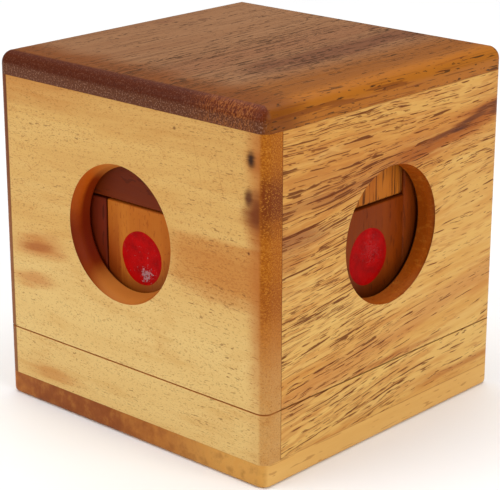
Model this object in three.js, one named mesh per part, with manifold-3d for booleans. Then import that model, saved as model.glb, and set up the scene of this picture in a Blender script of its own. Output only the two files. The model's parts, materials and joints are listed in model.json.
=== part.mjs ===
// A cubic puzzle box of hardwood boards about six millimetres thick. A cover (top plate and four tall walls,
// each with a round window) stands on a shallow base (bottom plate and four low walls). Inside lie seven
// wooden pieces, each glued up from cubes and sticks, that fill a grid of three cells each way. Four red dots
// show in the four windows when the pieces are packed correctly.
//
// Millimetres. X runs along the front, Y to the back, Z up. The origin is the centre of the underside.

import * as THREE from 'three';
import { mergeVertices } from 'three/addons/utils/BufferGeometryUtils.js';
import Module from 'manifold-3d';

const wasm = await Module();
wasm.setup();

// Box
const BOX_WIDTH = 90;
const PLATE = 6;
const WALL = 5.8;
const CAVITY_HEIGHT = 80;
const BASE_HEIGHT = 18.7;
const SAW_CUT = 0.3;
const CORNER_RADIUS = 2.5;
const TOP_ROUNDOVER = 3.4;
const BOTTOM_EASE = 1.2;
const WINDOW_DIAMETER = 35;

// Each window's centre, as its shift to the right of the wall's middle and its height, and how much its
// radius narrows through the wall. They are drilled by hand, so they are a little out of line.
const WINDOWS = {
  front: { shift: -2.4, height: 52.7, narrowing: 1.3 },
  right: { shift: 1, height: 52.2, narrowing: 0 },
  back: { shift: 0.8, height: 52.5, narrowing: 0.5 },
  left: { shift: -0.6, height: 52.4, narrowing: 0 },
};

// Contents
const CELLS = 3;
const CELL_PITCH = 26.1;
const FLOOR_GAP = 0.4;
const CELL_CLEARANCE = 0.2;
const BLOCK_CHAMFER = 0.5;

// Red dots, painted by hand: diameter, and shift to the right of the cell's middle
const DOTS = {
  front: { diameter: 14.8, shift: -0.9 },
  right: { diameter: 15.7, shift: -0.5 },
  back: { diameter: 15, shift: 0.5 },
  left: { diameter: 15.2, shift: 0.3 },
};
const DOT_RECESS = 1.2;
const DOT_FIT = 0.1;
const DOT_EDGE_DEPTH = 0.1;
const DOT_CROWN = 0.2;

// Smoothness
const CORNER_STEPS = 6;
const ROUNDOVER_STEPS = 5;
const WINDOW_SIDES = 64;
const DOT_SIDES = 32;
const CROWN_STEPS = 3;

const HALF = BOX_WIDTH / 2;
const INSIDE = HALF - WALL;
const WALL_TOP = PLATE + CAVITY_HEIGHT;
const COVER_BOTTOM = BASE_HEIGHT + SAW_CUT;

// Each side of the box as the turn about Z that brings the front to it.
const SIDE_TURNS = { front: 0, right: Math.PI / 2, back: Math.PI, left: -Math.PI / 2 };

function wood(name, color, roughness) {
  return new THREE.MeshStandardMaterial({ name, color, roughness, metalness: 0 });
}

const topWood = wood('top_wood', 0x9a5f2e, 0.4);
const paleWood = wood('pale_wood', 0xd2a268, 0.5);
const stripedWood = wood('striped_wood', 0xc08a4c, 0.5);
const bottomWood = wood('bottom_wood', 0x9c6029, 0.5);
const honeyWood = wood('honey_wood', 0xb97024, 0.5);
const tanWood = wood('tan_wood', 0xb98040, 0.55);
const brownWood = wood('brown_wood', 0x7c4216, 0.5);
const darkWood = wood('dark_wood', 0x5e2613, 0.5);
const redEnamel = wood('red_enamel', 0xb00808, 0.2);

// Geometry and solids ------------------------------------------------------------------------------------

function toSolid(geometry) {
  const bare = geometry.clone();
  bare.deleteAttribute('normal');
  bare.deleteAttribute('uv');
  const welded = mergeVertices(bare, 1e-5);
  return new wasm.Manifold(new wasm.Mesh({
    numProp: 3,
    vertProperties: new Float32Array(welded.attributes.position.array),
    triVerts: new Uint32Array(welded.index.array),
  }));
}

function toGeometry(solid) {
  const mesh = solid.getMesh();
  const geometry = new THREE.BufferGeometry();
  geometry.setAttribute('position', new THREE.BufferAttribute(mesh.vertProperties, 3));
  geometry.setIndex(new THREE.BufferAttribute(mesh.triVerts, 1));
  geometry.computeVertexNormals();
  return geometry;
}

const cut = (geometry, tool) => toGeometry(toSolid(geometry).subtract(toSolid(tool)));
const common = (geometry, other) => toGeometry(toSolid(geometry).intersect(toSolid(other)));

function namedMesh(name, geometry, material) {
  const mesh = new THREE.Mesh(geometry, material);
  mesh.name = name;
  return mesh;
}

// Boards -------------------------------------------------------------------------------------------------

// Square outline of the box with its four upright corners rounded.
function boxOutline() {
  const straight = HALF - CORNER_RADIUS;
  const shape = new THREE.Shape();
  shape.absarc(straight, straight, CORNER_RADIUS, 0, Math.PI / 2);
  shape.absarc(-straight, straight, CORNER_RADIUS, Math.PI / 2, Math.PI);
  shape.absarc(-straight, -straight, CORNER_RADIUS, Math.PI, Math.PI * 1.5);
  shape.absarc(straight, -straight, CORNER_RADIUS, Math.PI * 1.5, Math.PI * 2);
  shape.closePath();
  return shape;
}

// A plate's section, rounded over by `round` at its two upper corners.
function plateSection(round) {
  const shape = new THREE.Shape();
  shape.moveTo(-HALF, 0);
  shape.lineTo(HALF, 0);
  shape.absarc(HALF - round, PLATE - round, round, 0, Math.PI / 2);
  shape.absarc(round - HALF, PLATE - round, round, Math.PI / 2, Math.PI);
  shape.closePath();
  return shape;
}

// A plate whose outer edge is rounded over by `round` on its upper side only.
function roundedPlate(round) {
  const plan = new THREE.ExtrudeGeometry(boxOutline(), {
    depth: PLATE,
    curveSegments: CORNER_STEPS,
    bevelEnabled: false,
  });
  const lengthwise = new THREE.ExtrudeGeometry(plateSection(round), {
    depth: BOX_WIDTH * 2,
    curveSegments: ROUNDOVER_STEPS,
    bevelEnabled: false,
  });
  lengthwise.translate(0, 0, -BOX_WIDTH).rotateX(Math.PI / 2);
  const crosswise = lengthwise.clone().rotateZ(Math.PI / 2);
  return common(common(plan, lengthwise), crosswise);
}

// The front wall runs the full width, so both of its ends show and carry the rounded corners.
function frontOutline() {
  const straight = HALF - CORNER_RADIUS;
  const shape = new THREE.Shape();
  shape.moveTo(HALF, -INSIDE);
  shape.lineTo(-HALF, -INSIDE);
  shape.absarc(-straight, -straight, CORNER_RADIUS, Math.PI, Math.PI * 1.5);
  shape.absarc(straight, -straight, CORNER_RADIUS, Math.PI * 1.5, Math.PI * 2);
  shape.closePath();
  return shape;
}

// The side walls run from behind the front wall to the back, where they carry the rounded corners.
function rightOutline() {
  const straight = HALF - CORNER_RADIUS;
  const shape = new THREE.Shape();
  shape.moveTo(INSIDE, -INSIDE);
  shape.lineTo(HALF, -INSIDE);
  shape.absarc(straight, straight, CORNER_RADIUS, 0, Math.PI / 2);
  shape.lineTo(INSIDE, HALF);
  shape.closePath();
  return shape;
}

function leftOutline() {
  const points = rightOutline().getPoints(CORNER_STEPS);
  return new THREE.Shape(points.map((point) => new THREE.Vector2(-point.x, point.y)));
}

// The back wall fits between the side walls.
function backOutline() {
  const shape = new THREE.Shape();
  shape.moveTo(-INSIDE, INSIDE);
  shape.lineTo(INSIDE, INSIDE);
  shape.lineTo(INSIDE, HALF);
  shape.lineTo(-INSIDE, HALF);
  shape.closePath();
  return shape;
}

const WALLS = {
  front: { outline: frontOutline(), material: paleWood },
  back: { outline: backOutline(), material: paleWood },
  left: { outline: leftOutline(), material: stripedWood },
  right: { outline: rightOutline(), material: stripedWood },
};

function wallGeometry(outline, bottom, top) {
  const geometry = new THREE.ExtrudeGeometry(outline, {
    depth: top - bottom,
    curveSegments: CORNER_STEPS,
    bevelEnabled: false,
  });
  return geometry.translate(0, 0, bottom);
}

function windowTool(side) {
  const { shift, height, narrowing } = WINDOWS[side];
  const inner = WINDOW_DIAMETER / 2 - narrowing * 2;
  const outer = WINDOW_DIAMETER / 2 + narrowing * 2;
  const tool = new THREE.CylinderGeometry(inner, outer, WALL * 4, WINDOW_SIDES);
  return tool.translate(shift, -HALF, height).rotateZ(SIDE_TURNS[side]);
}

// The box is glued up whole and then sawn through, so each low wall is a strip of the same board as the tall
// wall above it.
function makeBase() {
  const group = new THREE.Group();
  const plate = roundedPlate(BOTTOM_EASE).rotateX(Math.PI).translate(0, 0, PLATE);
  group.add(namedMesh('bottom_plate', plate, bottomWood));
  for (const [side, { outline, material }] of Object.entries(WALLS)) {
    const strip = wallGeometry(outline, PLATE, BASE_HEIGHT);
    group.add(namedMesh(`${side}_lower_wall`, strip, material.clone()));
  }
  return group;
}

function makeCover() {
  const group = new THREE.Group();
  const plate = roundedPlate(TOP_ROUNDOVER).translate(0, 0, WALL_TOP);
  group.add(namedMesh('top_plate', plate, topWood));
  for (const [side, { outline, material }] of Object.entries(WALLS)) {
    const board = cut(wallGeometry(outline, COVER_BOTTOM, WALL_TOP), windowTool(side));
    group.add(namedMesh(`${side}_upper_wall`, board, material.clone()));
  }
  return group;
}

// Puzzle pieces ------------------------------------------------------------------------------------------

// A box centred on the origin with every edge chamfered.
function chamferedBox(width, depth, height) {
  const c = BLOCK_CHAMFER;
  const x = width / 2;
  const y = depth / 2;
  const shape = new THREE.Shape();
  shape.moveTo(x, -y + c);
  shape.lineTo(x, y - c);
  shape.lineTo(x - c, y);
  shape.lineTo(-x + c, y);
  shape.lineTo(-x, y - c);
  shape.lineTo(-x, -y + c);
  shape.lineTo(-x + c, -y);
  shape.lineTo(x - c, -y);
  shape.closePath();
  const geometry = new THREE.ExtrudeGeometry(shape, {
    depth: height - 2 * c,
    bevelThickness: c,
    bevelSize: c,
    bevelOffset: -c,
    bevelSegments: 1,
  });
  return geometry.translate(0, 0, c - height / 2);
}

const gridStart = [-CELLS * CELL_PITCH / 2, -CELLS * CELL_PITCH / 2, PLATE + FLOOR_GAP];

// Lowest and highest corner of a block that fills the cells from `first` to `last`. Free faces stand back
// from the grid by the clearance; the glued face crosses the gap to its neighbour in the same piece.
function blockCorners(block) {
  const low = block.first.map((cell, i) => gridStart[i] + cell * CELL_PITCH + CELL_CLEARANCE);
  const high = block.last.map((cell, i) => gridStart[i] + (cell + 1) * CELL_PITCH - CELL_CLEARANCE);
  if (block.glued) {
    const axis = 'xyz'.indexOf(block.glued[1]);
    if (block.glued[0] === '-') {
      low[axis] -= 2 * CELL_CLEARANCE;
    } else {
      high[axis] += 2 * CELL_CLEARANCE;
    }
  }
  return { low, high };
}

function blockGeometry(block) {
  const { low, high } = blockCorners(block);
  const size = high.map((value, i) => value - low[i]);
  const middle = high.map((value, i) => (value + low[i]) / 2);
  return chamferedBox(...size).translate(...middle);
}

// Moves a geometry made about +Y to the face behind one window, where the middle cell shows.
function placeOnFace(geometry, side) {
  const out = CELLS * CELL_PITCH / 2 - CELL_CLEARANCE;
  const height = gridStart[2] + CELLS * CELL_PITCH / 2;
  return geometry.rotateX(Math.PI).translate(DOTS[side].shift, -out, height).rotateZ(SIDE_TURNS[side]);
}

function recessTool(side) {
  const radius = DOTS[side].diameter / 2 + DOT_FIT;
  return placeOnFace(new THREE.CylinderGeometry(radius, radius, DOT_RECESS * 2, DOT_SIDES), side);
}

// A drop of enamel with a flat back, a short rim and a crowned face.
function dotGeometry(side) {
  const radius = DOTS[side].diameter / 2;
  const back = DOT_FIT - DOT_RECESS;
  const profile = [new THREE.Vector2(0, back), new THREE.Vector2(radius, back)];
  for (let step = 0; step <= CROWN_STEPS; step += 1) {
    const r = radius * (1 - step / CROWN_STEPS);
    const rise = DOT_CROWN * (1 - (r / radius) ** 2);
    profile.push(new THREE.Vector2(r, rise - DOT_EDGE_DEPTH));
  }
  return placeOnFace(new THREE.LatheGeometry(profile, DOT_SIDES), side);
}

// Cells count from the left, from the front and from the bottom. `glued` is the face that meets another
// block of the same piece, and `dot` is the side of the box on which the block carries a red dot.
const PIECES = {
  left_twist: {
    upright: { first: [1, 0, 0], last: [1, 0, 1], wood: honeyWood, dot: 'front' },
    foot_cube: { first: [2, 0, 0], last: [2, 0, 0], wood: honeyWood, glued: '-x' },
    rear_cube: { first: [2, 1, 0], last: [2, 1, 0], wood: honeyWood, glued: '-y' },
  },
  tripod: {
    stick: { first: [0, 1, 0], last: [0, 2, 0], wood: tanWood },
    top_cube: { first: [0, 2, 1], last: [0, 2, 1], wood: tanWood, glued: '-z' },
    side_cube: { first: [1, 2, 0], last: [1, 2, 0], wood: tanWood, glued: '-x' },
  },
  corner: {
    upright: { first: [0, 0, 0], last: [0, 0, 1], wood: darkWood },
    side_cube: { first: [0, 1, 1], last: [0, 1, 1], wood: darkWood, glued: '-y', dot: 'left' },
  },
  tee: {
    bar: { first: [2, 2, 0], last: [2, 2, 2], wood: brownWood },
    stem_cube: { first: [2, 1, 1], last: [2, 1, 1], wood: brownWood, glued: '+y', dot: 'right' },
  },
  zigzag: {
    stick: { first: [1, 1, 1], last: [1, 2, 1], wood: honeyWood, dot: 'back' },
    lower_cube: { first: [1, 1, 0], last: [1, 1, 0], wood: honeyWood, glued: '+z' },
    upper_cube: { first: [1, 2, 2], last: [1, 2, 2], wood: honeyWood, glued: '-z' },
  },
  right_twist: {
    upright: { first: [2, 0, 1], last: [2, 0, 2], wood: tanWood },
    side_cube: { first: [2, 1, 2], last: [2, 1, 2], wood: tanWood, glued: '-y' },
    inner_cube: { first: [1, 1, 2], last: [1, 1, 2], wood: tanWood, glued: '+x' },
  },
  ell: {
    front_stick: { first: [0, 0, 2], last: [1, 0, 2], wood: darkWood },
    rear_stick: { first: [0, 1, 2], last: [0, 2, 2], wood: darkWood, glued: '-y' },
  },
};

function makePiece(pieceName, blocks) {
  const group = new THREE.Group();
  for (const [blockName, block] of Object.entries(blocks)) {
    let geometry = blockGeometry(block);
    if (block.dot) {
      geometry = cut(geometry, recessTool(block.dot));
      group.add(namedMesh(`${block.dot}_dot`, dotGeometry(block.dot), redEnamel.clone()));
    }
    group.add(namedMesh(`${pieceName}_${blockName}`, geometry, block.wood.clone()));
  }
  return group;
}

// Assembly -----------------------------------------------------------------------------------------------

const puzzleBox = new THREE.Group();
puzzleBox.add(makeBase());
for (const [name, blocks] of Object.entries(PIECES)) {
  puzzleBox.add(makePiece(name, blocks));
}
puzzleBox.add(makeCover());

export default puzzleBox;
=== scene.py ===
"""Looks of a wooden puzzle box: boards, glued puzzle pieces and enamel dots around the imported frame."""

import json
import math

import bmesh
import bpy
from mathutils import Matrix, Vector


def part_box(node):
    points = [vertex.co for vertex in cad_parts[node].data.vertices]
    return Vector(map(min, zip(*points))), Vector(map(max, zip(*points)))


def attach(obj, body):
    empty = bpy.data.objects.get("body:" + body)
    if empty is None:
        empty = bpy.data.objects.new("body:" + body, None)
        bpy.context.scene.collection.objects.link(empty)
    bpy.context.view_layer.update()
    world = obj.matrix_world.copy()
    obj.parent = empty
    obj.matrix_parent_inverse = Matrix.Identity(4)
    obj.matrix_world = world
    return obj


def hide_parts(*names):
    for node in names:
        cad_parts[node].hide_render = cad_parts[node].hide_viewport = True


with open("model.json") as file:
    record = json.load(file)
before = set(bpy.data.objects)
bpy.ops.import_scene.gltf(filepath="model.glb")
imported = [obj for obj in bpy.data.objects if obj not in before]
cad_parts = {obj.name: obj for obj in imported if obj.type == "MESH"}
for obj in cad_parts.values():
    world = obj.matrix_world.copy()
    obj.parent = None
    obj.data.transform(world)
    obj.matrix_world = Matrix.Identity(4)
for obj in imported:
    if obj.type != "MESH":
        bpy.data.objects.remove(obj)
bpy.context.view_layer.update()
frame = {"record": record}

MM = 0.001

# Shapes, in metres
CORNER_RADIUS = 2.5 * MM
TOP_ROUNDOVER = 3.4 * MM
BOTTOM_EASE = 1.2 * MM
JOINT_EASE = 0.08 * MM
RIM_EASE = 0.35 * MM
INNER_RIM_EASE = 0.7 * MM
SUPPORT = 0.4 * MM
BLOCK_EASE = 0.45 * MM
GLUED_EASE = 0.14 * MM
WINDOW_RADIUS = 17.5 * MM
WINDOW_MARGIN = 3.0 * MM
WINDOW_LOOP = 2.0 * MM
# The hand-held drill left the windows a little narrower inside, the front one most of all
NARROWING = {"front": 1.9 * MM, "right": 0.6 * MM, "back": 0.9 * MM, "left": 0.6 * MM}
DOT_MENISCUS = 0.17 * MM
DOT_UNDERSIDE = 0.3 * MM
TINY = 0.0001 * MM

# How finely the meshes are divided
CORNER_STEPS = 9
EASE_STEPS = 3
FLAT_STEPS = 5
BORE_STEPS = 4
WINDOW_SPOKES = 28
DOT_RINGS = 14
DOT_SIDES = 96

SIDES = {
    "front": (Vector((1, 0, 0)), Vector((0, -1, 0))),
    "right": (Vector((0, 1, 0)), Vector((1, 0, 0))),
    "back": (Vector((-1, 0, 0)), Vector((0, 1, 0))),
    "left": (Vector((0, -1, 0)), Vector((-1, 0, 0))),
}

RECORD = frame["record"]
BODY_OF = {node: body for body, nodes in RECORD["behaviour"]["bodies"].items() for node in nodes}
WINDOW_BOXES = {opening["name"]: opening["box_m"] for opening in RECORD["physics"]["openings"]}


def window_middle(side):
    """The middle of the opening that the record gives for a side's window."""
    low, high = (Vector(corner) for corner in WINDOW_BOXES[f"{side}_window"])
    return (low + high) / 2


def window_of(side):
    """(shift along the face, height, radius, how much it narrows) of a side's window."""
    middle = window_middle(side)
    return SIDES[side][0].dot(middle), middle.z, WINDOW_RADIUS, NARROWING[side]


# ---------------------------------------------------------------------------------------------- meshes

def finish_mesh(name, mesh_data, smooth_angle=35.0):
    """Links a bmesh as an object of that name, closed and facing out, with crisp edges kept crisp."""
    bmesh.ops.recalc_face_normals(mesh_data, faces=mesh_data.faces)
    mesh = bpy.data.meshes.new(name)
    mesh_data.to_mesh(mesh)
    mesh_data.free()
    mesh.shade_smooth()
    mesh.set_sharp_from_angle(angle=math.radians(smooth_angle))
    piece = bpy.data.objects.new(name, mesh)
    bpy.context.scene.collection.objects.link(piece)
    return piece


def spread(start, end, count):
    """Evenly spaced values from start to end, both included."""
    return [start + (end - start) * i / count for i in range(count + 1)]


def arc_lines(radius, steps):
    """(distance in from the edge, depth) along a quarter round, from the edge inwards."""
    turns = [math.pi / 2 * i / steps for i in range(steps + 1)]
    return [(radius - radius * math.cos(t), radius - radius * math.sin(t)) for t in turns]


class Line:
    """One grid line of a panel: where it runs, and how deep the outer face lies there."""

    def __init__(self, place, depth=0.0):
        self.place = place
        self.depth = depth


def end_lines(edge, inward, radius, steps):
    """Grid lines of an eased end, from the edge inwards, with one more where the flat begins."""
    lines = [Line(edge + inward * d, depth) for d, depth in arc_lines(radius, steps)]
    lines.append(Line(edge + inward * (radius + SUPPORT)))
    return lines


def panel_lines(low, high, low_radius, high_radius, block=None):
    """Grid lines from low to high. block is the stretch that surrounds a window."""
    start = end_lines(low, 1, low_radius, CORNER_STEPS if low_radius > MM else EASE_STEPS)
    stop = end_lines(high, -1, high_radius, CORNER_STEPS if high_radius > MM else EASE_STEPS)
    first, last = start[-1].place, stop[-1].place
    if block is None:
        middle = spread(first, last, 2 * FLAT_STEPS)[1:-1]
    else:
        middle = spread(first, block[0], FLAT_STEPS)[1:-1] + spread(*block, WINDOW_SPOKES)
        middle += spread(block[1], last, FLAT_STEPS)[1:-1]
    return start + [Line(place) for place in middle] + stop[::-1]


def measure(node, along, out):
    """A wall's extent along its face, its outer face's distance from the middle, and its thickness."""
    low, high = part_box(node)
    ends = sorted((along.dot(low), along.dot(high)))
    faces = sorted((out.dot(low), out.dot(high)))
    return ends, faces[1], faces[1] - faces[0]


def wall_panel(name, node, side, round_ends, window=None):
    """A board with eased edges, rounded upright ends where asked, and a round window with an eased rim."""
    along, out = SIDES[side]
    (left, right), face, thickness = measure(node, along, out)
    low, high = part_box(node)
    radii = [CORNER_RADIUS if rounded else JOINT_EASE for rounded in round_ends]
    across = up = None
    if window:
        shift, height, radius, narrowing = window
        reach = radius + WINDOW_MARGIN
        across = (shift - reach, shift + reach)
        up = (height - reach, height + reach)
    columns = panel_lines(left, right, *radii, across)
    rows = panel_lines(low.z, high.z, JOINT_EASE, JOINT_EASE, up)
    mesh = bmesh.new()

    def vertex(u, v, depth):
        point = along * u + out * (face - depth)
        return mesh.verts.new((point.x, point.y, v))

    def in_block(place, block):
        return block is not None and block[0] - TINY <= place <= block[1] + TINY

    def strictly_in(place, block):
        return block is not None and block[0] + TINY < place < block[1] - TINY

    def sheet(depth_at):
        """One face of the board as a grid with a hole where the window's block is."""
        grid = {}
        for i, column in enumerate(columns):
            for j, row in enumerate(rows):
                if not (strictly_in(column.place, across) and strictly_in(row.place, up)):
                    grid[i, j] = vertex(column.place, row.place, depth_at(column, row))
        for i in range(len(columns) - 1):
            for j in range(len(rows) - 1):
                middle_u = (columns[i].place + columns[i + 1].place) / 2
                middle_v = (rows[j].place + rows[j + 1].place) / 2
                if not (in_block(middle_u, across) and in_block(middle_v, up)):
                    mesh.faces.new([grid[i, j], grid[i + 1, j], grid[i + 1, j + 1], grid[i, j + 1]])
        return grid

    front = sheet(lambda column, row: column.depth + row.depth)
    back = sheet(lambda column, row: thickness)
    last_i, last_j = len(columns) - 1, len(rows) - 1
    border = [(i, 0) for i in range(last_i)] + [(last_i, j) for j in range(last_j)]
    border += [(i, last_j) for i in range(last_i, 0, -1)] + [(0, j) for j in range(last_j, 0, -1)]
    bridge(mesh, [front[k] for k in border], [back[k] for k in border])

    if window:
        i0 = next(i for i, column in enumerate(columns) if in_block(column.place, across))
        j0 = next(j for j, row in enumerate(rows) if in_block(row.place, up))
        n = WINDOW_SPOKES
        ring = [(i0 + k, j0) for k in range(n)] + [(i0 + n, j0 + k) for k in range(n)]
        ring += [(i0 + n - k, j0 + n) for k in range(n)] + [(i0, j0 + n - k) for k in range(n)]
        places = [(columns[i].place - shift, rows[j].place - height) for i, j in ring]
        angles = [math.atan2(v, u) for u, v in places]

        def circle(r, depth):
            return [vertex(shift + r * math.cos(t), height + r * math.sin(t), depth) for t in angles]

        loops = [[front[k] for k in ring]]
        loops += [circle(radius + extra, 0.0) for extra in (WINDOW_LOOP, RIM_EASE + SUPPORT)]
        rim = [(radius + RIM_EASE - d, depth) for depth, d in arc_lines(RIM_EASE, EASE_STEPS)]
        loops += [circle(r, depth) for r, depth in rim]
        bore = spread(RIM_EASE, thickness - INNER_RIM_EASE, BORE_STEPS)[1:]
        loops += [circle(radius - narrowing * depth / thickness, depth) for depth in bore]
        loops += [circle(radius - narrowing + INNER_RIM_EASE, thickness), [back[k] for k in ring]]
        for first, second in zip(loops, loops[1:]):
            bridge(mesh, first, second)
    return finish_mesh(name, mesh)


def bridge(mesh, first, second):
    """Joins two closed loops of vertices with a band of quads."""
    count = len(first)
    for k in range(count):
        n = (k + 1) % count
        mesh.faces.new([first[k], first[n], second[n], second[k]])


def square_loop(mesh, half, radius, height):
    """Vertices of a square outline with rounded corners at one height."""
    points = []
    for corner in range(4):
        middle = math.pi / 2 * corner
        straight = half - radius
        cx = straight * (1 if corner in (0, 3) else -1)
        cy = straight * (1 if corner in (0, 1) else -1)
        for step in range(CORNER_STEPS + 1):
            turn = middle + math.pi / 2 * step / CORNER_STEPS
            points.append((cx + radius * math.cos(turn), cy + radius * math.sin(turn)))
    return [mesh.verts.new((x, y, height)) for x, y in points]


def plate(name, node, top_round, bottom_round):
    """A square board with rounded upright corners and quarter-round upper and lower edges."""
    low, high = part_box(node)
    half = high.x
    mesh = bmesh.new()
    inner = half * 0.5
    profile = [(inner, low.z), (bottom_round + SUPPORT, low.z)]
    profile += [(d, low.z + depth) for depth, d in arc_lines(bottom_round, EASE_STEPS * 2)]
    profile += [(d, high.z - depth) for d, depth in arc_lines(top_round, CORNER_STEPS)]
    profile += [(top_round + SUPPORT, high.z), (inner, high.z)]
    loops = [square_loop(mesh, half - d, max(CORNER_RADIUS - d, 0.2 * MM), z) for d, z in profile]
    for first, second in zip(loops, loops[1:]):
        bridge(mesh, first, second)
    mesh.faces.new(loops[0])
    mesh.faces.new(loops[-1])
    return finish_mesh(name, mesh)


def block(name, node, ease, glued):
    """A sanded block: free edges are rounded by ease, and the edges of glued faces stay nearly sharp."""
    low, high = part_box(node)
    mesh = bmesh.new()
    bmesh.ops.create_cube(mesh, size=1.0)
    centre, size = (low + high) / 2, high - low
    for v in mesh.verts:
        v.co = centre + Vector(v.co[i] * size[i] for i in range(3))
    planes = [("xyz".index(g[1]), (high if g[0] == "+" else low)["xyz".index(g[1])]) for g in glued]

    def on_glued(edge):
        return any(all(abs(v.co[axis] - value) < TINY for v in edge.verts) for axis, value in planes)

    free = [e for e in mesh.edges if not on_glued(e)]
    bmesh.ops.bevel(mesh, geom=free, offset=ease, segments=4, profile=0.5, affect="EDGES")
    if planes:
        joint = [e for e in mesh.edges if on_glued(e)]
        bmesh.ops.bevel(mesh, geom=joint, offset=GLUED_EASE, segments=2, profile=0.5, affect="EDGES")
    return finish_mesh(name, mesh)


def enamel_dot(name, node, side, seed):
    """A hand-painted drop: its outline wavers a little, and its edge falls in a short meniscus."""
    along, out = SIDES[side]
    (left, right), face, thickness = measure(node, along, out)
    low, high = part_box(node)
    radius = (right - left) / 2
    middle = (right + left) / 2
    height = (low.z + high.z) / 2
    mesh = bmesh.new()

    def place(ring, angle):
        share = math.sin(math.pi / 2 * ring / DOT_RINGS)
        waver = 1 - 0.012 + 0.007 * math.sin(3 * angle + seed) + 0.005 * math.sin(5 * angle + 2 * seed)
        r = radius * share * waver
        depth = DOT_MENISCUS * share ** 8
        point = along * (middle + r * math.cos(angle)) + out * (face - depth)
        return point.x, point.y, height + r * math.sin(angle)

    loops = []
    for ring in range(1, DOT_RINGS + 1):
        loops.append([mesh.verts.new(place(ring, 2 * math.pi * k / DOT_SIDES)) for k in range(DOT_SIDES)])
    tip = mesh.verts.new(place(0, 0.0))
    for k in range(DOT_SIDES):
        mesh.faces.new([tip, loops[0][k], loops[0][(k + 1) % DOT_SIDES]])
    for first, second in zip(loops, loops[1:]):
        bridge(mesh, first, second)
    rim = [mesh.verts.new(Vector(v.co) - out * (thickness - DOT_UNDERSIDE)) for v in loops[-1]]
    bridge(mesh, loops[-1], rim)
    mesh.faces.new(rim)
    return finish_mesh(name, mesh, smooth_angle=60)


# ------------------------------------------------------------------------------------------- materials

# The white sheen that the studio light lays over every satin surface, taken off the colours given below
SHEEN = 0.01
SHEEN_SHARE = 0.85
WOOD_SPECULAR = 0.09
ENAMEL_SPECULAR = 0.04

# Where the wood's patterns meet the shape, in millimetres: the outer faces' distance from the middle, how
# deep a window's inner edge lies, and the heights of the saw cut and of the plates' joints
OUTER_FACE = 45.0
INNER_EDGE = 5.1
SAW_CUT = 18.85
TOP_JOINT = 86.0
BOTTOM_JOINT = 6.0


def linear(red, green, blue):
    """A colour as it looks under the studio light, in sRGB 0 to 255, as Blender's linear RGBA."""
    def channel(value):
        value /= 255
        value = value / 12.92 if value <= 0.04045 else ((value + 0.055) / 1.055) ** 2.4
        return max(value - SHEEN, value * SHEEN_SHARE)
    return channel(red), channel(green), channel(blue), 1.0


class Value:
    """A node output that can be added, scaled and compared with plain signs."""

    def __init__(self, graph, socket):
        self.graph = graph
        self.socket = socket

    def __add__(self, other):
        return self.graph.math("ADD", self, other)

    def __sub__(self, other):
        return self.graph.math("SUBTRACT", self, other)

    def __rsub__(self, other):
        return self.graph.math("SUBTRACT", other, self)

    def __mul__(self, other):
        return self.graph.math("MULTIPLY", self, other)

    def __truediv__(self, other):
        return self.graph.math("DIVIDE", self, other)

    def __abs__(self):
        return self.graph.math("ABSOLUTE", self)


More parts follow.
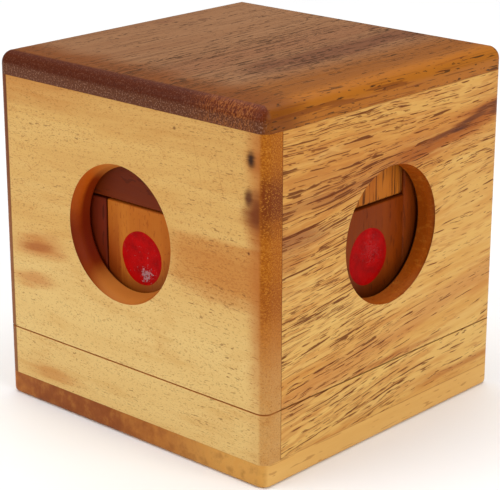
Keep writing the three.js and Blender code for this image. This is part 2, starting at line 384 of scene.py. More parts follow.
class Graph:
    """One node material. Lengths inside it are millimetres of the object's own frame."""

    def __init__(self, name):
        self.material = bpy.data.materials.new(name)
        self.material.use_nodes = True
        self.tree = self.material.node_tree
        self.tree.nodes.clear()
        coordinates = self.tree.nodes.new("ShaderNodeTexCoord")
        scaled = self.tree.nodes.new("ShaderNodeVectorMath")
        scaled.operation = "SCALE"
        scaled.inputs["Scale"].default_value = 1 / MM
        self.tree.links.new(coordinates.outputs["Object"], scaled.inputs[0])
        self.xyz = dict(zip("xyz", self.split(Value(self, scaled.outputs[0]))))
        self.normal = dict(zip("xyz", self.split(Value(self, coordinates.outputs["Normal"]))))

    def feed(self, value, socket):
        if isinstance(value, Value):
            self.tree.links.new(value.socket, socket)
        else:
            socket.default_value = value

    def split(self, vector):
        node = self.tree.nodes.new("ShaderNodeSeparateXYZ")
        self.feed(vector, node.inputs[0])
        return [Value(self, output) for output in node.outputs]

    def join(self, x, y, z):
        node = self.tree.nodes.new("ShaderNodeCombineXYZ")
        for value, socket in zip((x, y, z), node.inputs):
            self.feed(value, socket)
        return Value(self, node.outputs[0])

    def math(self, operation, *values):
        node = self.tree.nodes.new("ShaderNodeMath")
        node.operation = operation
        for value, socket in zip(values, node.inputs):
            self.feed(value, socket)
        return Value(self, node.outputs[0])

    def distance(self, da, db):
        return self.math("SQRT", da * da + db * db)

    def reach(self, vector, direction):
        """How far a vector reaches in a level direction."""
        return vector["x"] * direction.x + vector["y"] * direction.y

    def smooth(self, value, low, high, start=0.0, end=1.0):
        """Goes smoothly from start to end as value goes from low to high."""
        node = self.tree.nodes.new("ShaderNodeMapRange")
        node.interpolation_type = "SMOOTHSTEP"
        limits = (low, high, start, end) if low < high else (high, low, end, start)
        self.feed(value, node.inputs["Value"])
        for setting, socket in zip(limits, list(node.inputs)[1:5]):
            socket.default_value = setting
        return Value(self, node.outputs[0])

    def noise(self, vector, detail=2.0, roughness=0.5):
        node = self.tree.nodes.new("ShaderNodeTexNoise")
        self.feed(vector, node.inputs["Vector"])
        node.inputs["Scale"].default_value = 1.0
        node.inputs["Detail"].default_value = detail
        node.inputs["Roughness"].default_value = roughness
        return Value(self, node.outputs["Fac"])

    def mix(self, share, first, second):
        node = self.tree.nodes.new("ShaderNodeMix")
        node.data_type = "RGBA"
        node.clamp_factor = True
        self.feed(share, node.inputs["Factor"])
        self.feed(first, node.inputs[6])
        self.feed(second, node.inputs[7])
        return Value(self, node.outputs[2])

    def ramp(self, value, stops):
        node = self.tree.nodes.new("ShaderNodeValToRGB")
        self.feed(value, node.inputs[0])
        elements = node.color_ramp.elements
        while len(elements) < len(stops):
            elements.new(0.5)
        for element, (place, colour) in zip(elements, stops):
            element.position = place
            element.color = linear(*colour)
        return Value(self, node.outputs[0])

    def surface(self, colour, roughness, height, bump_depth, coat=0.0, coat_roughness=0.3, coat_ior=1.5,
                specular=0.5):
        """Ends the material. height is 0 to 1, and bump_depth is how deep that is in metres."""
        shader = self.tree.nodes.new("ShaderNodeBsdfPrincipled")
        output = self.tree.nodes.new("ShaderNodeOutputMaterial")
        bump = self.tree.nodes.new("ShaderNodeBump")
        bump.inputs["Strength"].default_value = 1.0
        bump.inputs["Distance"].default_value = bump_depth
        self.feed(height, bump.inputs["Height"])
        self.feed(colour, shader.inputs["Base Color"])
        self.feed(roughness, shader.inputs["Roughness"])
        self.feed(coat, shader.inputs["Coat Weight"])
        shader.inputs["Coat Roughness"].default_value = coat_roughness
        shader.inputs["Coat IOR"].default_value = coat_ior
        shader.inputs["Specular IOR Level"].default_value = specular
        self.tree.links.new(bump.outputs[0], shader.inputs["Normal"])
        self.tree.links.new(shader.outputs[0], output.inputs[0])
        return self.material


HALO = (176, 106, 44)


class Wood(Graph):
    """Solid wood whose grain runs along one axis, so that its faces and its end grain agree.

    a runs along the grain, b0 across the board's face and c through its thickness, in millimetres. b is b0
    bent and tilted as the grain runs, and depth is how far a point lies below the outer face.
    slope is how fast the grain climbs, or how that changes over b as (from, to, slope, slope).
    """

    def __init__(self, name, along, across, slope=0.0, sway=1.5, offset=(0, 0, 0)):
        super().__init__(name)
        depth = ({"x", "y", "z"} - {along, across}).pop()
        self.along = along
        self.a = self.xyz[along]
        self.b0 = self.xyz[across]
        self.c = self.xyz[depth] + offset[2]
        self.a_wood = self.a + offset[0]
        tilt = slope if isinstance(slope, float) else self.smooth(self.b0, *slope)
        b = self.b0 + offset[1] - self.a * tilt
        wander = self.noise(self.join(self.a_wood * 0.012, b * 0.03, self.c * 0.03), detail=1.0) - 0.5
        ripple = self.noise(self.join(self.a_wood * 0.06, b * 0.12, self.c * 0.05)) - 0.5
        self.b = b + wander * (8 * sway) + ripple * sway
        self.broad = self.stretched(0.010, 0.11, detail=3.0)
        self.streak = self.stretched(0.022, 0.75, detail=3.0, roughness=0.6)
        self.fine = self.stretched(0.22, 3.4, roughness=0.6)
        self.cloud = self.noise(self.join(self.a_wood * 0.07, b * 0.2, self.c * 0.2), detail=3.0) - 0.5
        self.ragged = self.stretched(0.05, 0.9, detail=2.0) - 0.5
        self.depth = OUTER_FACE - abs(self.xyz[depth])
        self.dents = None

    def stretched(self, along, across, detail=2.0, roughness=0.5, shift=0.0):
        """Noise drawn out along the grain. along and across are its pitch per millimetre."""
        return self.noise(self.join(self.a_wood * along + shift, self.b * across, self.c * across), detail,
                          roughness)

    def tones(self, stops, bands=0.9, fibre=0.35, lift=0.0):
        """The body colour: slow bands, streaks and fibres over a ramp of colours."""
        tone = (self.broad - 0.5) * bands + (self.streak - 0.5) * fibre + (self.fine - 0.5) * (fibre * 0.6)
        self.colour = self.ramp(tone + lift + 0.5, stops)

    def tint(self, mask, strength, colour):
        self.colour = self.mix(mask * strength, self.colour, linear(*colour))

    def zone(self, value, low, high, strength, colour):
        """Colour that comes in between low and high of any measure."""
        self.tint(self.smooth(value, low, high) * (self.streak * 0.5 + 0.75), strength, colour)

    def vein(self, level, slant, width, begin, end, strength, colour, bend=0.0, soft=8.0, ragged=1.0):
        """A band of colour along the grain: its level at a = 0, its slant, its half width and its reach."""
        centre = self.a * slant + self.a * self.a * bend + level
        off = abs(self.b0 - centre + self.cloud * (width * 1.2)) + self.ragged * (width * ragged)
        fade = self.smooth(self.a, begin - soft, begin + soft) * self.smooth(self.a, end + soft, end - soft)
        self.tint(self.smooth(off, width, width * 0.2) * fade, strength, colour)

    def flames(self, strength, colour, along=0.03, across=0.32, low=0.5, high=0.68, shift=0.0):
        """Irregular streaks of another shade, some centimetres long."""
        self.tint(self.smooth(self.stretched(along, across, 3.0, 0.6, shift), low, high), strength, colour)

    def scratch(self, start, end, strength, colour, width=0.12):
        """A straight fine scratch between two points of the face."""
        da, db = end[0] - start[0], end[1] - start[1]
        length = math.hypot(da, db)
        off = abs((self.a - start[0]) * (db / length) - (self.b0 - start[1]) * (da / length))
        reach = (self.a - start[0]) * (da / length) + (self.b0 - start[1]) * (db / length)
        inside = self.smooth(reach, 0.0, length * 0.3) * self.smooth(reach, length, length * 0.6)
        self.tint(self.smooth(off, width, width * 0.3) * inside, strength, colour)

    def bore(self, side, colour):
        """The inside of a round window: cut wood, darker and richer, the darkness partly painted shade, and
        darkest at its inner edge, where a painted shadow lies.
        """
        middle = window_middle(side) / MM
        rim = WINDOW_RADIUS / MM
        away = self.distance(self.a - middle["xyz".index(self.along)], self.b0 - middle.z)
        near = self.smooth(away, rim + 1.4, rim + 0.7)
        inside = near * self.smooth(self.depth, 0.1, 0.5)
        mottle = self.noise(self.join(self.a * 0.9, self.b0 * 0.9, self.c * 0.5), detail=3.0, roughness=0.6)
        self.tint(inside, 0.92, colour)
        self.tint(inside * self.smooth(mottle, 0.5, 0.7), 0.35, (206, 132, 46))
        # Painted shadow: the bore goes nearly black towards its inner edge
        self.tint(inside * self.smooth(self.depth, INNER_EDGE - 0.3, INNER_EDGE), 0.95, (34, 12, 4))
        return inside

    def patch(self, at, level, length, width, strength, colour, ragged=1.0, slant=0.0):
        """A smudge of colour, given by its middle, half length and half width."""
        da = (self.a - at) / length
        db = (self.b0 - level - (self.a - at) * slant) / width
        away = self.distance(da, db) + self.cloud * 0.9 + self.ragged * (0.6 * ragged)
        self.tint(self.smooth(away, 1.0, 0.15), strength, colour)

    def vessels(self, length, spacing, cover, strength, colour, thick=0.05, where=None, shift=0.0, halo=0.0):
        """Open vessels: thin lines along the grain, broken into dashes. A higher cover leaves fewer."""
        lines = self.stretched(0.05 / length, 0.5 / spacing, detail=1.0, shift=shift)
        dashes = self.stretched(1 / length, 0.9 / spacing, detail=1.0, shift=shift + 19.0)
        dashes = dashes + (self.broad - 0.5) * 0.15
        if where is not None:
            dashes = dashes + where
        mask = self.smooth(abs(lines - 0.5), thick, thick * 0.45) * self.smooth(dashes, cover, cover + 0.06)
        if halo:
            self.tint(self.smooth(dashes, cover - 0.06, cover + 0.06), halo, HALO)
        self.stain(mask, strength, colour)

    def pores(self, length, width, cut, strength, colour, where=None, shift=0.0):
        """Short open pores: dashes along the grain, and dots on its ends. A higher cut leaves fewer."""
        field = self.stretched(1 / length, 1 / width, detail=1.0, shift=shift) + (self.broad - 0.5) * 0.12
        if where is not None:
            field = field + where
        self.stain(self.smooth(field, cut, cut + 0.05), strength, colour)

    def stain(self, mask, strength, colour):
        """Colours a pore and sinks it below the surface."""
        self.tint(mask, strength, colour)
        self.dents = mask * strength if self.dents is None else self.dents + mask * strength

    def ends(self, strength, colour, low=0.35, high=0.8, share=None):
        """End grain: darker wherever the surface faces along the grain."""
        facing = self.smooth(abs(self.normal[self.along]), low, high)
        mottle = self.noise(self.join(self.a * 0.2, self.b0 * 2.2, self.c * 2.2), detail=2.0, roughness=0.7)
        if share is not None:
            facing = facing * share
        self.tint(facing * (mottle * 0.9 + 0.5), strength, colour)
        return facing

    def line(self, axis, level, width, strength, colour):
        """A thin, slightly wavering stain along a joint."""
        away = abs(self.xyz[axis] - level + self.cloud * (width * 0.6))
        self.tint(self.smooth(away, width, width * 0.3), strength, colour)

    def finish(self, roughness, bump):
        """Ends the material with a satin surface that the fibres roughen and the pores pit."""
        height = self.fine * 0.35 + self.streak * 0.25 + 0.4
        rough = (self.fine - 0.5) * 0.25 + (self.streak - 0.5) * 0.15 + roughness
        if self.dents is not None:
            height = height - self.dents * 0.8
            rough = rough + self.dents * 0.15
        return self.surface(self.colour, rough, height, bump, specular=WOOD_SPECULAR)


def enamel(name, seed, red, along, gloss):
    """Red paint, brushed on thickly: dull where it dried thin, glossy and wrinkled around one place.

    gloss is that place's position along the face and its height, its reach, and how glossy and how
    wrinkled it is.
    """
    g = Graph(name)
    p = [g.xyz[axis] + seed * 7.3 for axis in "xyz"]
    cloud = g.noise(g.join(*(v * 0.35 for v in p)), detail=3.0)
    wrinkle = g.noise(g.join(*(v * 2.8 for v in p)), detail=2.0, roughness=0.6)
    patchy = g.noise(g.join(*(v * 1.1 for v in p)), detail=2.0, roughness=0.6)
    at, level, reach, strength, wrinkling = gloss
    away = g.distance(g.xyz[along] - at, g.xyz["z"] - level)
    nearness = g.smooth(away, reach, reach * 0.2, -0.12, 0.12)
    shine = g.smooth(patchy + nearness, 0.52, 0.62)
    colour = g.ramp(cloud, [(0.3, (red - 24, 0, 0)), (0.5, (red, 0, 0)), (0.7, (red + 14, 0, 0))])
    return g.surface(colour, 0.4 - shine * 0.26, wrinkle * (shine * wrinkling + 0.2), 0.0003,
                     coat=shine * strength, coat_roughness=0.05, coat_ior=1.9, specular=ENAMEL_SPECULAR)


END_BROWN = (166, 94, 8)
SEAM_BROWN = (120, 62, 22)
SAWN_EDGE = (206, 130, 58)


def front_wood():
    w = Wood("front_board", "x", "z", slope=0.01, sway=1.0)
    # Paler towards the bottom and darker at the top: partly the wood's own tone, partly painted light
    # bounced up from the floor
    pale = w.smooth(w.b0, 56.0, 30.0, 0.0, 0.34) - w.smooth(w.b0, 74.0, 88.0, 0.0, 0.22)
    w.tones([(0.1, (192, 135, 70)), (0.5, (215, 170, 100)), (0.9, (226, 191, 123))], bands=0.7, fibre=0.25,
            lift=pale)
    w.flames(0.3, (202, 146, 76), along=0.05, across=0.2)
    # Warmer heartwood right of the window, and the orange upper left corner
    w.patch(34, 50.0, 24, 10.5, 0.8, (196, 132, 64))
    w.patch(-40, 89.0, 38, 13.0, 0.6, (190, 122, 54), slant=0.05)
    warm = w.smooth(w.b0 + w.ragged * 2.0, 59.5, 57.0) * w.smooth(w.b0 + w.cloud * 6, 42.0, 50.0)
    warm = warm * w.smooth(w.a + w.cloud * 8, 10.0, 20.0)
    w.tint(warm, 0.65, (194, 128, 60))
    w.patch(-31, 43.2, 15, 4.4, 0.75, (190, 116, 54), slant=0.1)
    w.patch(-32, 43.0, 9, 1.8, 0.6, (162, 88, 36), slant=0.14)
    w.patch(-34, 33.8, 10, 3.4, 0.65, (194, 124, 64))
    w.patch(-29, 9.5, 14, 3.4, 0.6, (194, 124, 56))
    w.vein(54.0, 0.0, 1.2, 16, 44, 0.35, (186, 118, 52))
    w.pores(0.6, 0.26, 0.64, 0.3, (140, 88, 36))
    w.pores(0.8, 0.34, 0.62, 0.35, (168, 96, 36), where=warm * 0.08, shift=53.0)
    w.vessels(0.7, 0.36, 0.60, 0.34, (126, 76, 30), thick=0.05, shift=31.0)
    w.vessels(1.7, 0.5, 0.58, 0.55, (120, 66, 24), thick=0.035, shift=7.0,
              where=w.smooth(w.a, 8.0, 24.0, -0.06, 0.0))
    w.scratch((22.0, 84.0), (26.0, 68.0), 0.4, (176, 116, 56))
    w.scratch((29.5, 80.0), (33.0, 66.0), 0.45, (170, 108, 50))
    w.scratch((34.0, 78.0), (38.0, 67.0), 0.3, (176, 116, 56))
    # The board darkens towards the knots by the near corner
    darker = w.smooth(w.a + w.cloud * 3.0, 38.0, 43.5) * w.smooth(w.b0, 12.0, 44.0, 0.25, 1.0)
    w.tint(darker, 0.75, (180, 106, 42))
    w.patch(44.0, 66.0, 7.5, 10.5, 0.75, (166, 92, 30), ragged=1.2)
    w.patch(42.6, 67.4, 5.4, 6.4, 0.95, (116, 56, 14), ragged=0.5)
    w.patch(39.9, 70.6, 1.7, 2.8, 0.85, (86, 40, 14), ragged=0.7)
    w.patch(42.0, 79.0, 5.0, 4.6, 0.8, (172, 100, 38), ragged=1.4)
    w.patch(40.6, 79.7, 1.9, 3.2, 0.97, (52, 28, 14), ragged=1.0)
    w.patch(16.8, 82.8, 0.6, 0.6, 0.8, (112, 66, 28))
    w.patch(40.0, 57.6, 0.5, 0.5, 0.85, (104, 52, 20))
    # End grain at both rounded corners
    facing = w.ends(1.0, END_BROWN, 0.10, 0.5, share=w.smooth(w.b0, 52.0, 27.0, 1.0, 0.4))
    right_end = w.smooth(w.normal["x"], 0.1, 0.6)
    w.tint(right_end * w.smooth(abs(w.b0 - 70.0 + w.cloud * 9), 10.0, 1.0), 0.9, (112, 48, 8))
    w.tint(right_end * w.smooth(abs(w.b0 - 46.0 + w.cloud * 9), 8.0, 1.0), 0.4, (142, 74, 18))
    left_end = w.smooth(w.a, -41.9, -42.3)
    w.tint(left_end, 0.9, (128, 70, 34))
    w.tint(left_end * w.smooth(w.b0, 40.0, 80.0), 0.8, (104, 50, 22))
    specks = w.noise(w.join(w.a * 1.2, w.b0 * 2.6, w.c * 2.6), detail=2.0, roughness=0.7)
    w.tint(facing * w.smooth(specks, 0.52, 0.64), 0.5, (204, 138, 52))
    w.tint(facing * w.smooth(specks, 0.48, 0.36), 0.5, (116, 54, 4))
    inside = w.bore("front", (196, 104, 26))
    w.tint(inside * w.smooth(w.a, -4.0, -13.0), 0.8, (190, 88, 12))
    # Painted shade: the left of the bore is darker deeper in and towards its lower left
    low_left = w.smooth(w.a, -7.0, -15.0) * w.smooth(w.b0 + w.cloud * 8, 62.0, 48.0)
    w.tint(inside * w.smooth(w.a, -6.0, -12.0) * w.smooth(w.depth, 2.4, 3.6), 0.85, (122, 32, 0))
    w.tint(inside * low_left, 0.85, (122, 32, 0))
    w.tint(inside * w.smooth(w.b0, 44.0, 37.0), 0.9, (152, 72, 0))
    w.line("z", SAW_CUT, 0.35, 0.35, SEAM_BROWN)
    w.tint(w.smooth(abs(w.normal["z"]), 0.6, 0.9), 0.8, SAWN_EDGE)
    w.line("y", -39.2, 0.22, 0.85, (96, 50, 18))
    # Painted shadow: a dark spot where the saw cut opens into a notch at the left end
    w.patch(-44.3, 18.4, 1.5, 0.7, 0.95, (44, 20, 6), ragged=0.5)
    return w.finish(roughness=0.42, bump=0.00003)


def right_wood():
    w = Wood("right_board", "y", "z", slope=(58.0, 82.0, 0.115, 0.0), sway=1.3)
    # Paler towards the bottom: partly the wood's own tone, partly painted light bounced up from the floor
    w.tones([(0.1, (184, 114, 46)), (0.45, (208, 152, 78)), (0.9, (224, 182, 106))], bands=1.0, fibre=0.5,
            lift=w.smooth(w.b0, 56.0, 30.0, 0.0, 0.2))
    w.flames(0.5, (194, 122, 50))
    w.flames(0.4, (224, 184, 112), shift=23.0)
    w.patch(32, 56.0, 18, 15.0, 0.6, (218, 174, 100))
    w.patch(-22, 36.0, 24, 7.0, 0.5, (218, 174, 100))
    w.patch(-37, 57.0, 13, 11.0, 0.4, (164, 98, 44))
    w.vein(70.0, 0.10, 7.0, -30, 60, 0.55, (180, 108, 44), bend=0.0012)
    w.vein(69.6, 0.11, 3.4, 0, 60, 0.85, (160, 84, 18), bend=0.0012, ragged=1.4)
    w.vein(70.4, 0.11, 1.5, 14, 60, 0.8, (100, 52, 24), bend=0.0012, ragged=2.2)
    w.vein(68.5, 0.05, 2.4, -60, 4, 0.55, (160, 96, 46), ragged=1.6)
    w.vein(60.5, 0.03, 3.0, -60, -24, 0.7, (148, 90, 54), ragged=1.6)
    w.vein(25.8, 0.17, 4.6, -60, 60, 0.6, (194, 128, 68), ragged=1.4)
    w.vein(19.9, 0.02, 1.2, -12, 24, 0.6, (170, 92, 28))
    w.vein(8.2, 0.03, 1.2, 15, 60, 0.55, (178, 108, 48))
    busy = w.smooth(w.a, 20.0, -14.0, -0.075, 0.02) + w.smooth(w.b0, 44.0, 62.0, -0.02, 0.035)
    w.patch(28.0, 73.8, 5.5, 1.4, 0.8, (86, 44, 26), slant=0.12, ragged=1.6)
    w.patch(42.5, 75.8, 3.5, 2.0, 0.7, (94, 50, 30), slant=0.12, ragged=1.6)
    w.vessels(6.0, 0.55, 0.515, 0.85, (98, 42, 4), thick=0.045, where=busy, halo=0.35)
    w.vessels(2.8, 0.38, 0.54, 0.75, (112, 52, 10), thick=0.055, where=busy, shift=47.0)
    w.ends(0.8, END_BROWN)
    w.bore("right", (166, 80, 6))
    w.line("z", SAW_CUT, 0.3, 0.5, SEAM_BROWN)
    w.line("z", TOP_JOINT, 0.25, 0.6, (120, 66, 26))
    w.line("z", BOTTOM_JOINT, 0.3, 0.5, (150, 90, 36))
    return w.finish(roughness=0.4, bump=0.00006)


def left_wood():
    w = Wood("left_board", "y", "z", slope=-0.05, sway=2.0, offset=(120, 31, 9))
    w.tones([(0.1, (182, 118, 56)), (0.45, (206, 154, 84)), (0.9, (222, 180, 110))], bands=1.0, fibre=0.45)
    w.flames(0.5, (188, 122, 56))
    w.vein(66.0, -0.06, 3.0, -60, 10, 0.6, (160, 94, 44), bend=0.001, ragged=1.5)
    w.vein(30.0, -0.04, 4.0, -10, 60, 0.5, (190, 124, 66), ragged=1.5)
    w.vessels(6.0, 0.75, 0.54, 0.95, (90, 42, 12), thick=0.06, halo=0.35)
    w.vessels(2.8, 0.5, 0.57, 0.8, (110, 54, 18), thick=0.07, shift=47.0)
    w.ends(0.8, END_BROWN)
    w.bore("left", (166, 94, 30))
    w.line("z", SAW_CUT, 0.3, 0.5, SEAM_BROWN)
    w.line("z", TOP_JOINT, 0.25, 0.6, (120, 66, 26))
    return w.finish(roughness=0.41, bump=0.00006)


def back_wood():
    w = Wood("back_board", "x", "z", slope=-0.02, sway=1.6, offset=(-60, 17, 40))
    w.tones([(0.1, (190, 130, 64)), (0.5, (212, 164, 94)), (0.9, (224, 186, 118))], bands=0.9, fibre=0.3)
    w.flames(0.35, (200, 142, 72), along=0.05, across=0.2)
    w.vein(70.0, 0.02, 4.0, -40, 10, 0.5, (188, 118, 58), ragged=1.5)
    w.vein(33.0, 0.0, 3.0, 0, 60, 0.4, (190, 124, 62), ragged=1.5)
    w.pores(1.3, 0.36, 0.655, 0.35, (130, 78, 34))
    w.vessels(2.4, 0.8, 0.58, 0.55, (118, 64, 24), thick=0.055, shift=31.0)
    w.ends(0.8, END_BROWN)
    w.bore("back", (172, 98, 34))
    w.line("z", SAW_CUT, 0.35, 0.5, SEAM_BROWN)
    return w.finish(roughness=0.42, bump=0.00004)


def top_wood():
    w = Wood("top_board", "y", "x", sway=0.8)
    w.tones([(0.1, (125, 79, 46)), (0.5, (150, 106, 72)), (0.9, (163, 120, 86))], bands=0.6, fibre=0.35)
    w.vein(5.0, 0.0, 9.0, -60, 60, 0.45, (142, 92, 60))
    w.vein(18.0, 0.02, 8.0, -20, 60, 0.75, (116, 70, 42), ragged=1.4)
    w.zone(w.b0, 20.0, 34.0, 0.9, (146, 86, 20))
    w.zone(w.b0, 37.0, 44.0, 0.75, (178, 108, 32))
    w.zone(w.a + w.cloud * 8, -28.0, -40.0, 0.9, (126, 70, 16))
    w.patch(17.0, -33.0, 2.6, 1.6, 0.6, (104, 66, 40))
    w.patch(7.0, -38.0, 5.0, 2.0, 0.5, (122, 76, 48))
    quiet = w.smooth(w.b0, -6.0, -14.0, 0.0, -0.05) + w.smooth(w.b0, 30.0, 38.0, 0.0, -0.05)
    lined = w.smooth(abs(w.b0 - 1.0), 9.0, 3.0, -0.01, 0.06) * w.smooth(w.a, 22.0, 2.0, 0.3, 1.0) + quiet
    mottled = w.smooth(abs(w.b0 - 17.0), 11.0, 3.0, 0.0, 0.05) + quiet
    w.vessels(6.0, 0.6, 0.54, 0.85, (72, 40, 14), thick=0.05, where=lined)
    w.vessels(24.0, 0.5, 0.515, 0.45, (88, 50, 20), thick=0.045, where=lined, shift=71.0)
    w.vessels(2.0, 0.5, 0.55, 0.8, (66, 38, 14), thick=0.08, where=mottled, shift=47.0)
    side = w.smooth(w.b0, 42.5, 44.0, -0.5, 0.0)
    w.vessels(14.0, 0.8, 0.53, 0.6, (116, 58, 18), thick=0.07, where=side, shift=11.0)
    # The front and back edges are end grain, speckled. Dark and red where rounded and greyer below: a
    # painted reflection, grey where the flat edge mirrors the bright front
    near = w.smooth(w.b0, 18.0, 34.0)
    facing = w.ends(0.95, (98, 54, 30), 0.10, 0.4, share=w.smooth(w.b0, 43.4, 44.8, 1.0, 0.1))
    rounded = w.smooth(w.xyz["z"], 88.2, 89.4)
    w.tint(facing * rounded, 0.9, (86, 32, 6))
    w.tint(facing * rounded * near, 0.3, (130, 56, 6))
    rings = w.noise(w.join(w.b0 * 1.3, w.xyz["z"] * 0.45, 3.0), detail=1.0)
    specks = w.noise(w.join(w.b0 * 2.6, w.a * 2.6, w.xyz["z"] * 2.6), detail=1.0)
    # Painted reflection: pale grey specks on the flat edge below the rounding
    w.tint(facing * (1.0 - rounded * 0.7) * w.smooth(specks, 0.56, 0.66), 0.55, (160, 120, 96))
    w.tint(facing * w.smooth(specks, 0.44, 0.32), 0.5, (60, 24, 12))
    near = near * w.smooth(w.b0, 42.5, 40.0)
    w.tint(facing * near * w.smooth(abs(rings - 0.5), 0.06, 0.02), 0.5, (164, 98, 44))
    w.tint(facing * near * w.smooth(specks, 0.56, 0.65), 0.35, (180, 108, 50))
    return w.finish(roughness=0.36, bump=0.00004)


def bottom_wood():
    w = Wood("bottom_board", "y", "x", sway=1.2, offset=(33, 0, 70))
    w.tones([(0.1, (210, 152, 78)), (0.5, (222, 173, 99)), (0.9, (230, 186, 113))], bands=0.6, fibre=0.25)
    w.vessels(5.0, 0.9, 0.57, 0.45, (160, 100, 46))
    facing = w.smooth(abs(w.normal["y"]), 0.3, 0.8)
    w.tint(facing, 0.9, (210, 154, 79))
    w.tint(facing * w.smooth(w.b0, 36.0, 6.0), 0.9, (168, 100, 42))
    w.tint(facing * w.smooth(w.b0 + w.cloud * 12, 8.0, -10.0), 0.85, (142, 78, 34))
    w.tint(facing * w.smooth(w.b0 + w.cloud * 12, -32.0, -44.0), 0.8, (176, 106, 46))
    mottle = w.noise(w.join(w.b0 * 0.35, w.xyz["z"] * 0.3, 5.0), detail=4.0, roughness=0.6)
    w.tint(facing * w.smooth(mottle, 0.48, 0.7), 0.3, (206, 140, 66))
    w.tint(facing * w.smooth(mottle, 0.54, 0.3), 0.35, (120, 60, 24))
    return w.finish(roughness=0.44, bump=0.00004)


# The blocks' woods: their dark, middle and light colours, how streaky they are, and their vessels
BLOCK_WOODS = {
    "left_twist": dict(tones=[(164, 82, 14), (188, 106, 28), (204, 128, 44)], fibre=0.25,
                       vessels=(1.5, 0.7, 0.57, 0.4, (146, 62, 12))),
    "tripod": dict(tones=[(166, 106, 48), (190, 132, 66), (206, 154, 86)], fibre=0.4,
                   vessels=(7.0, 0.9, 0.52, 0.8, (100, 56, 22))),
    "corner": dict(tones=[(86, 24, 4), (110, 34, 8), (130, 48, 14)], fibre=0.3,
                   vessels=(5.0, 0.8, 0.54, 0.6, (54, 20, 6))),
    "tee": dict(tones=[(98, 36, 0), (127, 54, 2), (146, 70, 12)], fibre=0.4,
                vessels=(4.0, 0.7, 0.56, 0.45, (76, 28, 6))),
    "zigzag": dict(tones=[(166, 94, 30), (192, 120, 46), (208, 142, 64)], fibre=0.3,
                   vessels=(5.0, 0.8, 0.54, 0.6, (130, 66, 22))),
    "right_twist": dict(tones=[(150, 76, 10), (178, 102, 24), (192, 120, 38)], fibre=0.45,
                        vessels=(30.0, 0.7, 0.44, 0.9, (84, 42, 14))),
    "ell": dict(tones=[(86, 26, 0), (112, 42, 0), (132, 56, 6)], fibre=0.25,
                vessels=(3.0, 0.8, 0.58, 0.4, (56, 20, 6))),
}
TONE_PLACES = (0.1, 0.5, 0.9)

# How strongly, and to what colour, a painted shadow darkens the blocks behind a window's rim
PAINTED_RIM_SHADOW = {"front": (0.6, (96, 28, 0)), "right": (0.6, (34, 8, 0))}


def painted_rim_shadow(w):
    """A painted shadow: a soft darker arc on the blocks' outer faces, behind the lower half of a window's
    inner rim.
    """
    for side, (strength, colour) in PAINTED_RIM_SHADOW.items():
        along, out = SIDES[side]
        shift, height, radius, narrowing = (length / MM for length in window_of(side))
        db = w.xyz["z"] - height
        away = w.distance(w.reach(w.xyz, along) - shift, db) - (radius - narrowing)
        arc = w.smooth(away, -6.0, 0.4) * w.smooth(away, 5.5, 0.6)
        outer = w.smooth(w.reach(w.xyz, out), 24.0, 30.0) * w.smooth(w.reach(w.normal, out), 0.5, 0.9)
        w.tint(arc * outer * w.smooth(db, 15.0, -6.0), strength, colour)


def block_wood(node, body, along, offset):
    look = BLOCK_WOODS[body]
    w = Wood(f"{node}_wood", along, "x" if along != "x" else "z", sway=1.2, offset=offset)
    w.tones(list(zip(TONE_PLACES, look["tones"])), bands=0.8, fibre=look["fibre"])
    w.vessels(*look["vessels"], thick=0.07)
    if node == "left_twist_upright":  # painted shade, darker and redder, along the edge left of the front dot
        w.vein(-12.5, 0.0, 7.0, 20.0, 52.0, 0.75, (136, 46, 0), soft=9.0)
    w.ends(0.5, look["vessels"][-1])
    painted_rim_shadow(w)
    return w.finish(roughness=0.46, bump=0.00004)


# ------------------------------------------------------------------------------------------ the pieces

def add_piece(piece, body, node, material):
    piece.data.materials.append(material)
    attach(piece, body)
    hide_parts(node)


def make_boards():
    materials = {"front": front_wood(), "right": right_wood(), "back": back_wood(), "left": left_wood()}
    round_ends = {
        "front": (True, True), "right": (False, True), "back": (False, False), "left": (True, False),
    }
    for side, material in materials.items():
        for level in ("upper", "lower"):
            node = f"{side}_{level}_wall"
            window = window_of(side) if level == "upper" else None
            piece = wall_panel(f"{side}_{level}_board", node, side, round_ends[side], window)
            add_piece(piece, BODY_OF[node], node, material)
    top = plate("top_board", "top_plate", TOP_ROUNDOVER, JOINT_EASE)
    add_piece(top, "cover", "top_plate", top_wood())
    bottom = plate("bottom_board", "bottom_plate", JOINT_EASE, BOTTOM_EASE)
    add_piece(bottom, "base", "bottom_plate", bottom_wood())


# Every block: the axis its grain runs along, and the faces that are glued
BLOCKS = {
    "left_twist_upright": ("z", ["+x"]),
    "left_twist_foot_cube": ("x", ["-x", "+y"]),
    "left_twist_rear_cube": ("x", ["-y"]),
    "tripod_stick": ("y", []),
    "tripod_top_cube": ("y", ["-z"]),
    "tripod_side_cube": ("y", ["-x"]),
    "corner_upright": ("z", []),
    "corner_side_cube": ("z", ["-y"]),
    "tee_bar": ("z", []),
    "tee_stem_cube": ("z", ["+y"]),
    "zigzag_stick": ("y", []),
    "zigzag_lower_cube": ("y", ["+z"]),
    "zigzag_upper_cube": ("y", ["-z"]),
    "right_twist_upright": ("z", []),
    "right_twist_side_cube": ("z", ["-y", "-x"]),
    "right_twist_inner_cube": ("z", ["+x"]),
    "ell_front_stick": ("x", []),
    "ell_rear_stick": ("y", ["-y"]),
}

# Blocks with free edges that are sanded rounder than usual
ROUNDER = {"right_twist_side_cube": 0.9 * MM}
# How far apart the blocks are cut from their solid wood, in millimetres
WOOD_STEP = (13.7, 29.3, 17.9)


def make_blocks():
    for number, (node, (along, glued)) in enumerate(BLOCKS.items()):
        body = BODY_OF[node]
        offset = tuple(step * number for step in WOOD_STEP)
        piece = block(f"{node}_block", node, ROUNDER.get(node, BLOCK_EASE), glued)
        add_piece(piece, body, node, block_wood(node, body, along, offset))


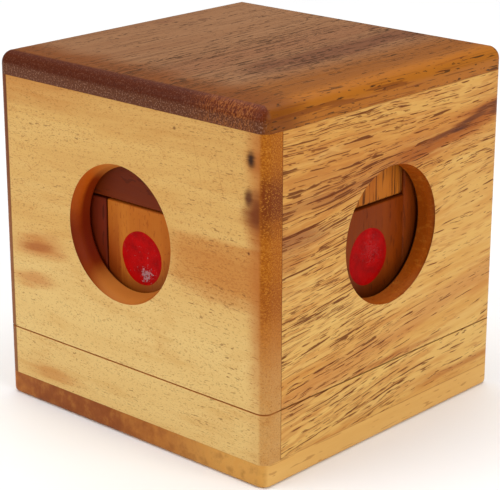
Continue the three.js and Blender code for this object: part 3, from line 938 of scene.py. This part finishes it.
# Each side's paint: its red, and where it shines: position along the face, height and reach in millimetres,
# gloss, wrinkling
PAINT = {
    "front": (174, "x", (1.0, 41.6, 3.4, 1.0, 1.2)),
    "right": (162, "y", (0.8, 47.4, 5.8, 0.05, 0.1)),
    "back": (170, "x", (0.0, 43.5, 4.0, 0.6, 0.7)),
    "left": (168, "y", (1.0, 47.0, 4.0, 0.5, 0.6)),
}


def make_dots():
    for seed, side in enumerate(SIDES):
        node = f"{side}_dot"
        paint = enamel(f"red_enamel_{side}", seed, *PAINT[side])
        piece = enamel_dot(f"{side}_enamel", node, side, seed * 1.7)
        add_piece(piece, BODY_OF[node], node, paint)


# ------------------------------------------------------------------------------------------- the stage

CAMERA_PLACE = Vector((0.30275, -0.33326, 0.19012))
CAMERA_RIGHT = Vector((0.74154, 0.67090, 0.00243))
CAMERA_AIM = Vector((-0.63463, 0.70261, -0.32186))
CAMERA_LENS = 131.36
CAMERA_SHIFT = (-0.0133, 0.0185)


def make_camera():
    data = bpy.data.cameras.new("camera")
    data.sensor_width = 36
    data.lens = CAMERA_LENS
    data.shift_x, data.shift_y = CAMERA_SHIFT
    data.clip_start = 0.01
    camera = bpy.data.objects.new("camera", data)
    camera.location = CAMERA_PLACE
    axes = Matrix((CAMERA_RIGHT, CAMERA_RIGHT.cross(CAMERA_AIM), -CAMERA_AIM)).transposed()
    camera.rotation_mode = "QUATERNION"
    camera.rotation_quaternion = axes.to_quaternion()
    bpy.context.scene.collection.objects.link(camera)
    bpy.context.scene.camera = camera


def area_light(name, place, target, size, power):
    data = bpy.data.lights.new(name, "AREA")
    data.shape = "RECTANGLE"
    data.size, data.size_y = size, size
    data.energy = power
    light = bpy.data.objects.new(name, data)
    light.location = place
    light.rotation_mode = "QUATERNION"
    light.rotation_quaternion = (Vector(target) - Vector(place)).to_track_quat("-Z", "Y")
    bpy.context.scene.collection.objects.link(light)


def make_stage():
    mesh = bmesh.new()
    bmesh.ops.create_circle(mesh, cap_ends=True, segments=64, radius=6.0)
    floor = finish_mesh("floor", mesh)
    g = Graph("pale_floor")
    cloud = g.noise(g.join(*(g.xyz[axis] * 0.01 for axis in "xyz")), detail=2.0)
    shade = g.ramp(cloud, [(0.3, (247, 247, 247)), (0.7, (250, 250, 250))])
    floor.data.materials.append(g.surface(shade, 0.8, cloud, 0.00001, specular=0.2))

    world = bpy.data.worlds.new("studio")
    bpy.context.scene.world = world
    world.use_nodes = True
    background = world.node_tree.nodes["Background"]
    background.inputs["Color"].default_value = (1, 1, 1, 1)
    background.inputs["Strength"].default_value = 0.15

    middle = (0, 0, 0.045)
    area_light("key", (-0.35, -0.80, 0.60), middle, 0.7, 4.6)
    area_light("fill", (0.90, -0.05, 0.55), middle, 0.7, 5.2)
    area_light("overhead", (-0.30, 0.35, 1.35), (-0.30, 0.35, 0.0), 1.9, 23.0)
    bpy.context.scene.view_settings.view_transform = "Standard"


make_boards()
make_blocks()
make_dots()
make_camera()
make_stage()
